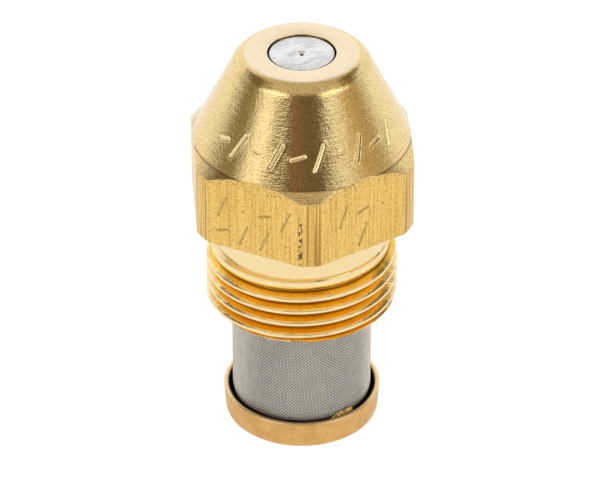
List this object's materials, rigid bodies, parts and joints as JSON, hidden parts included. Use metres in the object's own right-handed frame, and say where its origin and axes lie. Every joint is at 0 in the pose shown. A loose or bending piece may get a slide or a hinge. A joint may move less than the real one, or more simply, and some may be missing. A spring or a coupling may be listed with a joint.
{
  "type": "oil burner nozzle",
  "caption": "Brass oil burner nozzle: hexagon, conical nose and external thread, steel orifice disc and swirl distributor inside, wire-mesh strainer below.",
  "frame": {"origin": "centre of the strainer cap's bottom face, which the nozzle stands on", "axes": "+Z along the nozzle's axis, from the strainer to the spray orifice; two flats of the hexagon face +X and -X"},
  "size_m": [0.0158, 0.0176, 0.0313],
  "materials": {
    "turned_brass": "bright turned, fine tool lines",
    "screw_brass": "turned",
    "cap_brass": "tumbled satin",
    "ground_steel": "fine ground face",
    "turned_steel": "turned",
    "woven_wire": "drawn stainless wire, woven",
    "solder": "dull solder"
  },
  "bodies": {
    "strainer": {"strainer_bush": "screw_brass", "strainer_core": "screw_brass", "mesh_sleeve": "woven_wire", "bush_solder": "solder", "cap_solder": "solder", "end_cap": "cap_brass"},
    "body": {"nozzle_body": "turned_brass"},
    "screw": {"lock_screw": "screw_brass"},
    "distributor": {"swirl_distributor": "turned_steel"},
    "disc": {"orifice_disc": "ground_steel"}
  },
  "joints": [
    {"name": "nozzle_lift", "type": "slide", "parent": "strainer", "child": "body", "axis": [0, 0, 1], "range_m": [0, 0.028]},
    {"name": "lock_screw_draw", "type": "slide", "parent": "body", "child": "screw", "axis": [0, 0, -1], "range_m": [0, 0.027]},
    {"name": "distributor_drop", "type": "slide", "parent": "body", "child": "distributor", "axis": [0, 0, -1], "range_m": [0, 0.0254]},
    {"name": "disc_drop", "type": "slide", "parent": "body", "child": "disc", "axis": [0, 0, -1], "range_m": [0, 0.022]}
  ],
  "couplings": [
    {"joint": "lock_screw_draw", "follows": "nozzle_lift", "ratio": 0.96071},
    {"joint": "distributor_drop", "follows": "nozzle_lift", "ratio": 0.90357},
    {"joint": "disc_drop", "follows": "nozzle_lift", "ratio": 0.78214}
  ]
}
